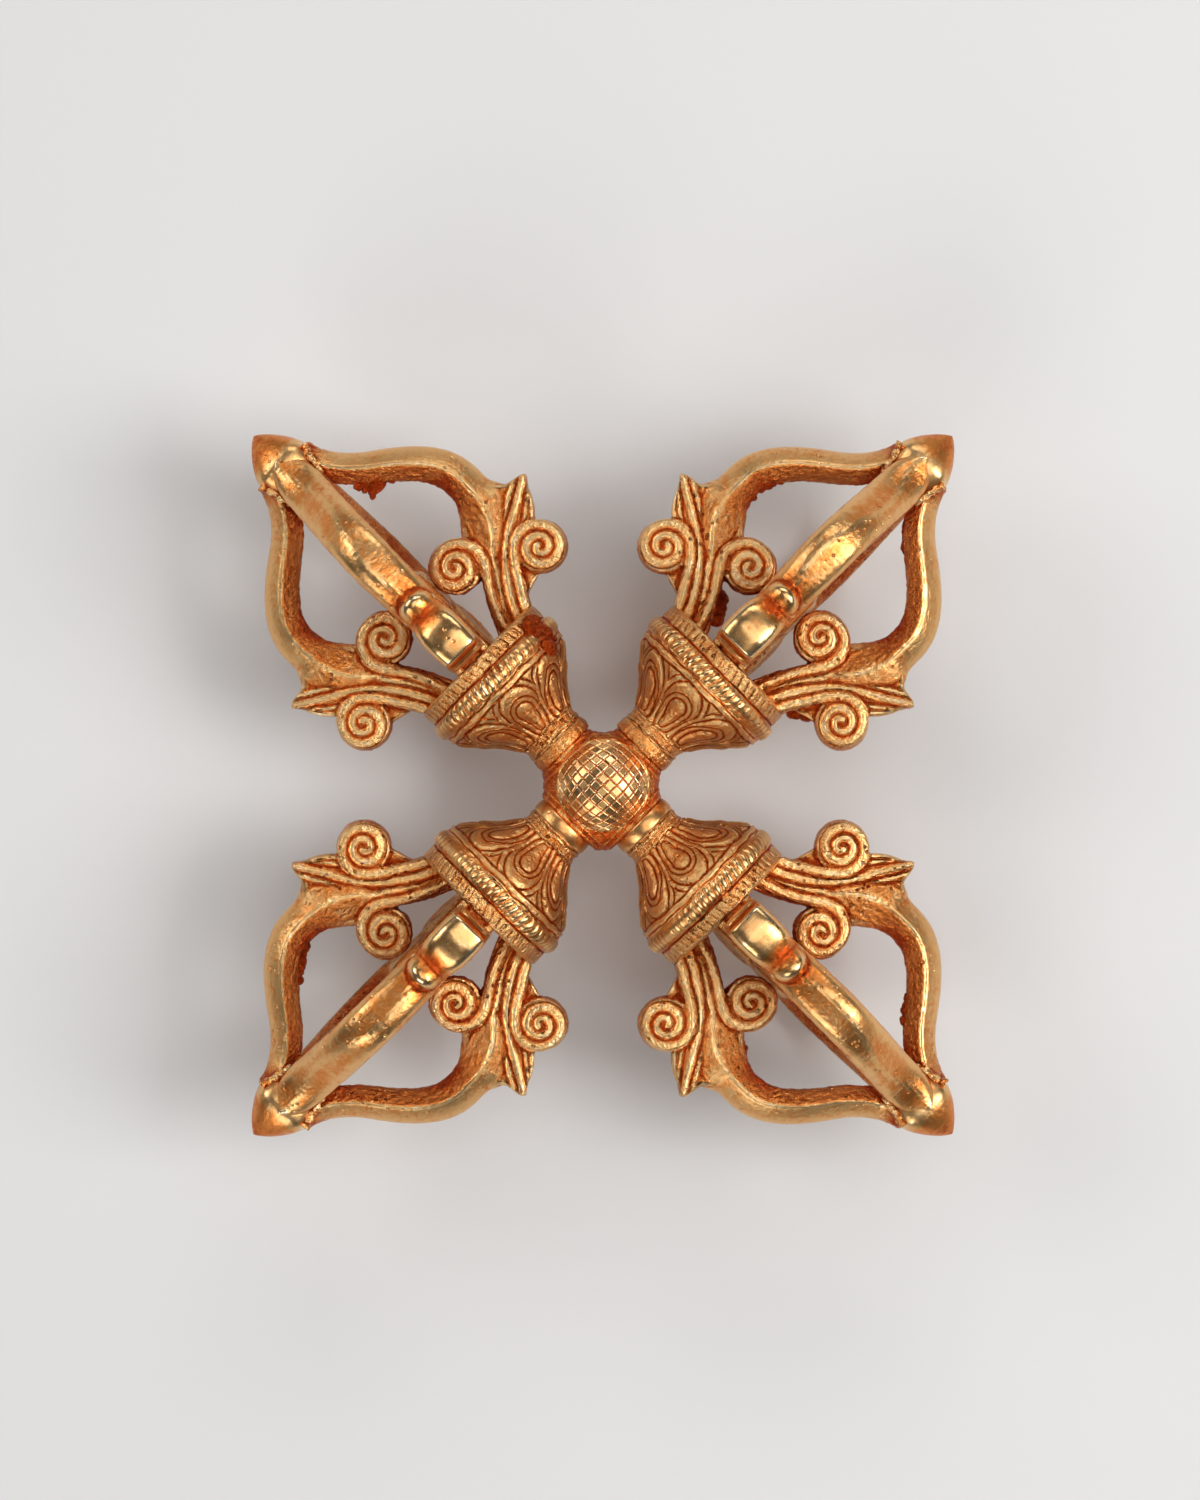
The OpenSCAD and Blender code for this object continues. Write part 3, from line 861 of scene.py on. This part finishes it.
def new_group():
    group = bpy.data.node_groups.new("Gilt surface", "ShaderNodeTree")
    face = group.interface
    for name, default in (("Recess", 0.0), ("Polish", 0.0), ("Grain", 1.0), ("Pits", 1.0)):
        face.new_socket(name, in_out="INPUT", socket_type="NodeSocketFloat").default_value = default
    for name, kind in (("Color", "Color"), ("Roughness", "Float"), ("Height", "Float")):
        face.new_socket(name, in_out="OUTPUT", socket_type="NodeSocket" + kind)
    nodes, links = group.nodes, group.links
    into, out = nodes.new("NodeGroupInput"), nodes.new("NodeGroupOutput")

    def node(kind, **settings):
        made = nodes.new(kind)
        for key, value in settings.items():
            setattr(made, key, value)
        return made

    def value(socket, given):
        if isinstance(given, bpy.types.NodeSocket):
            links.new(given, socket)
        else:
            socket.default_value = given

    def maths(operation, a, b=0.0, clamp=False):
        made = node("ShaderNodeMath", operation=operation, use_clamp=clamp)
        value(made.inputs[0], a)
        value(made.inputs[1], b)
        return made.outputs[0]

    def plus(total, v, share, clamp=False):
        return maths("ADD", total, maths("MULTIPLY", v, share), clamp)

    def minus(total, v, share):
        return maths("SUBTRACT", total, maths("MULTIPLY", v, share))

    def centred(v):
        return maths("SUBTRACT", v, 0.5)

    def blend(amount, a, b):
        made = node("ShaderNodeMix", data_type="RGBA")
        value(made.inputs["Factor"], amount)
        value(made.inputs["A"], a)
        value(made.inputs["B"], b)
        return made.outputs["Result"]

    def steps(v, low, high):
        made = node("ShaderNodeMapRange", interpolation_type="SMOOTHSTEP")
        value(made.inputs["Value"], v)
        made.inputs["From Min"].default_value = low
        made.inputs["From Max"].default_value = high
        return made.outputs["Result"]

    where = node("ShaderNodeTexCoord").outputs["Object"]

    def texture(size, detail, stretch=None):
        at = where
        if stretch:
            turned = node("ShaderNodeMapping")
            links.new(where, turned.inputs["Vector"])
            turned.inputs["Scale"].default_value = stretch
            turned.inputs["Rotation"].default_value = (0.0, 0.0, math.radians(30))
            at = turned.outputs["Vector"]
        made = node("ShaderNodeTexNoise")
        links.new(at, made.inputs["Vector"])
        made.inputs["Scale"].default_value = 1.0 / size
        made.inputs["Detail"].default_value = detail
        made.inputs["Roughness"].default_value = 0.6
        return made.outputs["Fac"]

    recess, polish = into.outputs["Recess"], into.outputs["Polish"]
    cloud = texture(0.0045, 3.0)
    mottle = texture(0.0009, 4.0)
    fine = texture(0.00042, 4.0)
    scratch = texture(0.0009, 2.0, (0.25, 3.0, 1.0))
    pit = node("ShaderNodeTexVoronoi")
    links.new(where, pit.inputs["Vector"])
    pit.inputs["Scale"].default_value = 1.0 / PIT_SPACING
    pit_mask = maths("MULTIPLY", steps(pit.outputs["Distance"], 0.26, 0.1), steps(cloud, 0.46, 0.62))
    unpolished = maths("SUBTRACT", 1.0, polish, True)
    pit_mask = maths("MULTIPLY", pit_mask, maths("MULTIPLY", into.outputs["Pits"], unpolished), True)
    # The patina mix carries painted shade from closed-in places at its red and dark end, and a painted
    # highlight at its pale end
    patina_shade_highlight = plus(plus(recess, centred(mottle), 0.6), centred(fine), 0.45)
    patina_shade_highlight = minus(plus(patina_shade_highlight, centred(cloud), 0.4), polish, 0.15)
    red = steps(patina_shade_highlight, 0.36, 0.76)
    base = blend(steps(patina_shade_highlight, -0.02, -0.3), GOLD, RUBBED_AND_HIGHLIGHT)
    base = blend(steps(patina_shade_highlight, 0.05, 0.4), base, WARM_GOLD)
    base = blend(red, base, RED_PATINA_AND_SHADE)
    base = blend(maths("MULTIPLY", steps(patina_shade_highlight, 0.74, 1.1), 0.7), base, DARK_PATINA_AND_SHADE)
    base = blend(maths("MULTIPLY", pit_mask, 0.75), base, PIT_COLOUR)
    links.new(base, out.inputs["Color"])
    filed = maths("MULTIPLY", steps(polish, 0.32, 0.5), unpolished, True)
    rough = plus(maths("ADD", 0.21, maths("MULTIPLY", polish, 0.05)), red, 0.12)
    rough = plus(plus(rough, filed, 0.3), centred(mottle), 0.16, True)
    links.new(rough, out.inputs["Roughness"])
    dull = maths("POWER", unpolished, 1.6)
    rough_cast = maths("MULTIPLY", dull, maths("ADD", maths("MULTIPLY", recess, 0.9), 0.5))
    height = maths("MULTIPLY", plus(mottle, fine, 1.4), maths("MULTIPLY", rough_cast, into.outputs["Grain"]))
    height = plus(height, scratch, maths("MULTIPLY", filed, 0.16))
    height = minus(height, pit_mask, 1.6)
    links.new(height, out.inputs["Height"])
    return group


def gilding(name, group, grain_share, pits):
    mat = bpy.data.materials.new(name)
    mat.use_nodes = True
    nodes, links = mat.node_tree.nodes, mat.node_tree.links
    shader = nodes["Principled BSDF"]
    shader.inputs["Metallic"].default_value = 1.0
    surface = nodes.new("ShaderNodeGroup")
    surface.node_tree = group
    surface.inputs["Grain"].default_value = grain_share
    surface.inputs["Pits"].default_value = pits
    for channel in ("Recess", "Polish"):
        read = nodes.new("ShaderNodeAttribute")
        read.attribute_name = channel.lower()
        links.new(read.outputs["Fac"], surface.inputs[channel])
    links.new(surface.outputs["Color"], shader.inputs["Base Color"])
    links.new(surface.outputs["Roughness"], shader.inputs["Roughness"])
    bump = nodes.new("ShaderNodeBump")
    bump.inputs["Strength"].default_value = 1.0
    bump.inputs["Distance"].default_value = BUMP_DEPTH
    links.new(surface.outputs["Height"], bump.inputs["Height"])
    links.new(bump.outputs["Normal"], shader.inputs["Normal"])
    return mat


GILT = new_group()
GILDING = {
    "cast_gilt": gilding("Cast gilding", GILT, 1.0, 1.0),
    "polished_gilt": gilding("Polished gilding", GILT, 0.5, 0.4),
}


# Casting flaws: crumbs of metal left on single pieces, as (place, radius) in the piece's own frame

CRUMB_RECESS, CRUMB_POLISH = 0.92, 0.1


def row(first, last, count, radius, spread, seed):
    """Uneven crumbs along a line."""
    found = []
    for i in range(count):
        off = noise.noise_vector((i * 0.61 + seed, seed * 1.3, 0.4))
        at = mix(Vector(first), Vector(last), i / (count - 1)) + off * spread
        found.append((at, radius * (1 + 0.6 * off.z)))
    return found


def edge(part, t, share):
    """Place on the arch: part and t say how far along it, share how far towards its outer or inner edge."""
    path, wide, _ = ARCH[part]
    a, b = bezier(path, t), bezier(path, t + 0.01)
    return a + flat(a.y - b.y, b.x - a.x).normalized() * mix(*wide, t) * share


FLAWS = {
    "gilt_prong_north_right": row(edge(2, 0.86, -0.85), edge(3, 0.3, -0.85), 16, 0.46, 0.2, 1.0)
    + row(edge(2, 0.93, -1.1), edge(3, 0.2, -1.1), 12, 0.42, 0.2, 2.0)
    + row(edge(2, 0.98, -1.35), edge(3, 0.12, -1.35), 7, 0.36, 0.2, 2.5)
    + row(edge(3, 0.03, -1.5), edge(3, 0.05, -1.7), 3, 0.28, 0.1, 2.8),
    "gilt_prong_east_left": row(edge(1, 0.72, -0.92), edge(1, 0.98, -0.88), 12, 0.3, 0.15, 3.0)
    + row(edge(2, 0.05, -0.88), edge(2, 0.5, -0.88), 16, 0.3, 0.15, 3.5)
    + row((19.9, 3.9, -0.8), (22.2, 5.2, -0.8), 16, 0.7, 0.4, 4.0),
    "gilt_prong_east_right": row((18.7, 8.2, 0), (20.2, 9.9, 0), 10, 0.6, 0.4, 5.0)
    + row(edge(3, 0.05, -0.88), edge(3, 0.35, -0.88), 12, 0.36, 0.18, 6.0),
    "gilt_prong_west_right": row(edge(2, 0.15, -0.9), edge(2, 0.7, -0.9), 24, 0.4, 0.2, 7.0),
    "gilt_prong_south_left": row(edge(2, 0.85, -0.9), edge(3, 0.1, -0.9), 12, 0.4, 0.2, 8.0),
    "gilt_prong_south_right": row(edge(1, 0.3, -1.35), edge(1, 0.62, -1.12), 12, 0.4, 0.2, 9.0),
    "gilt_cup_north": row((13.2, -6.1, 4.5), (16.9, -6.4, 5.4), 22, 0.6, 0.6, 10.0)
    + row((14.2, -6.8, 3.9), (17.0, -6.8, 4.4), 18, 0.55, 0.5, 11.0),
}


def with_flaws(master, spots):
    bm = bmesh.new()
    bm.from_mesh(master)
    recess, polish = bm.verts.layers.float["recess"], bm.verts.layers.float["polish"]
    for centre, radius in spots:
        for v in ball(bm, centre, radius, 2):
            v[recess], v[polish] = CRUMB_RECESS, CRUMB_POLISH
    mesh = bpy.data.meshes.new("flawed")
    bm.to_mesh(mesh)
    bm.free()
    return mesh


# Placing the pieces: each copy of a master gets its own slight bends and uneven skin

BEND = 0.09
SHARP = math.radians(58)
HUB_WAVE, COLLAR_WAVE, CUP_WAVE, POINT_WAVE, PRONG_WAVE = 0.1, 0.16, 0.24, 0.03, 0.22
COLLAR_RUB = (0.1, 0.0, 0.9, 1.0)


def place_piece(name, node, master, matrix, wave, slot, rubbed=1.0):
    mesh = with_flaws(master, FLAWS[name]) if name in FLAWS else master.copy()
    mesh.name = name
    mesh.transform(matrix)
    co = coords(mesh)
    bend = np.stack([grain(co, 9.0, s) for s in (3.1, 7.7, 13.3)], 1)
    no = normals(mesh)
    polish = stored(mesh, "polish") * rubbed
    store(mesh, "polish", polish)
    skin = grain(co, 1.3, 5.5) * 0.4 + grain(co, 0.45, 9.1) * 0.6
    skin = skin * wave * (1 - polish) ** 1.7 * (0.45 + 0.9 * stored(mesh, "recess"))
    co = co + bend * BEND + no * skin[:, None]
    co[:, 2] = np.maximum(co[:, 2], 0.0)
    set_coords(mesh, co)
    mesh.transform(SCALE)
    mesh.shade_smooth()
    mesh.set_sharp_from_angle(angle=SHARP)
    mesh.materials.clear()
    mesh.materials.append(GILDING[slot])
    ob = bpy.data.objects.new(name, mesh)
    bpy.context.scene.collection.objects.link(ob)
    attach(ob, "root")
    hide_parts(node)


side_prong, filed_prong = finished_prong("side_prong", False), finished_prong("filed_prong", True)
lotus, rod, ring, core = finished_cup(), finished_rod(), finished_ring(), finished_hub()
place_piece("engraved_hub", "hub", core, Matrix.Translation((0, 0, MID)), HUB_WAVE, "polished_gilt")
for i, arm in enumerate(ARMS):
    at = on_arm(i)
    place_piece(f"gilt_collar_{arm}", f"neck_collar_{arm}", ring, at, COLLAR_WAVE, "polished_gilt",
                COLLAR_RUB[i])
    place_piece(f"gilt_cup_{arm}", f"lotus_cup_{arm}", lotus, at, CUP_WAVE, "cast_gilt")
    place_piece(f"gilt_point_{arm}", f"central_prong_{arm}", rod, at, POINT_WAVE, "polished_gilt")
    for k, side in enumerate(SIDES):
        master = filed_prong if k % 2 else side_prong
        at = on_arm(i, math.pi / 2 * k)
        place_piece(f"gilt_prong_{arm}_{side}", f"makara_prong_{arm}_{side}", master, at, PRONG_WAVE,
                    "cast_gilt")
for mesh in (side_prong, filed_prong, lotus, rod, ring, core):
    bpy.data.meshes.remove(mesh)


# Floor, light and camera

floor_bm = bmesh.new()
bmesh.ops.create_grid(floor_bm, x_segments=2, y_segments=2, size=1.5)
floor = bpy.data.objects.new("floor", to_mesh(floor_bm, "floor"))
bpy.context.scene.collection.objects.link(floor)
floor_mat = bpy.data.materials.new("Pale floor")
floor_mat.use_nodes = True
floor_shader = floor_mat.node_tree.nodes["Principled BSDF"]
floor_shader.inputs["Base Color"].default_value = (0.72, 0.71, 0.70, 1)
floor_shader.inputs["Roughness"].default_value = 0.7
floor.data.materials.append(floor_mat)

scene = bpy.context.scene
world = bpy.data.worlds.new("Studio")
scene.world = world
world.use_nodes = True
sky = world.node_tree.nodes["Background"]
sky.inputs["Color"].default_value = (0.95, 0.97, 1.0, 1)
sky.inputs["Strength"].default_value = 0.06
RIGHT = Vector((1, -1, 0)).normalized()
AHEAD = Vector((1, 1, 0)).normalized()


def softbox(name, place, size, watts, aim=Vector((0, 0, 0.015))):
    lamp = bpy.data.lights.new(name, "AREA")
    lamp.shape = "RECTANGLE"
    lamp.size, lamp.size_y = size
    lamp.energy = watts
    ob = bpy.data.objects.new(name, lamp)
    ob.location = place
    ob.rotation_euler = (aim - place).to_track_quat("-Z", "Y").to_euler()
    scene.collection.objects.link(ob)


softbox("key", RIGHT * 0.5 - AHEAD * 0.05 + UP * 0.5, (0.36, 0.36), 2.9)
softbox("fill", -RIGHT * 0.6 + AHEAD * 0.3 + UP * 0.45, (0.5, 0.35), 1.9)
softbox("back", AHEAD * 0.65 + RIGHT * 0.1 + UP * 0.4, (0.6, 0.2), 1.3)
softbox("front", -AHEAD * 0.6 - RIGHT * 0.3 + UP * 0.45, (0.5, 0.35), 1.8)
softbox("top", RIGHT * 0.2 + AHEAD * 0.05 + UP * 0.75, (0.5, 0.6), 1.75)

camera = bpy.data.cameras.new("camera")
camera.lens = 140.0
camera.sensor_width = 36.0
camera.clip_start = 0.01
eye = bpy.data.objects.new("camera", camera)
VIEW_SPAN = 0.1519
HEIGHT = VIEW_SPAN * camera.lens / camera.sensor_width
eye.location = AHEAD * 0.00355 - RIGHT * 0.0003 + UP * (MID * 0.001 + HEIGHT)
eye.rotation_euler = (0.0, 0.0, math.radians(-45))
scene.collection.objects.link(eye)
scene.camera = eye
scene.view_settings.view_transform = "Standard"
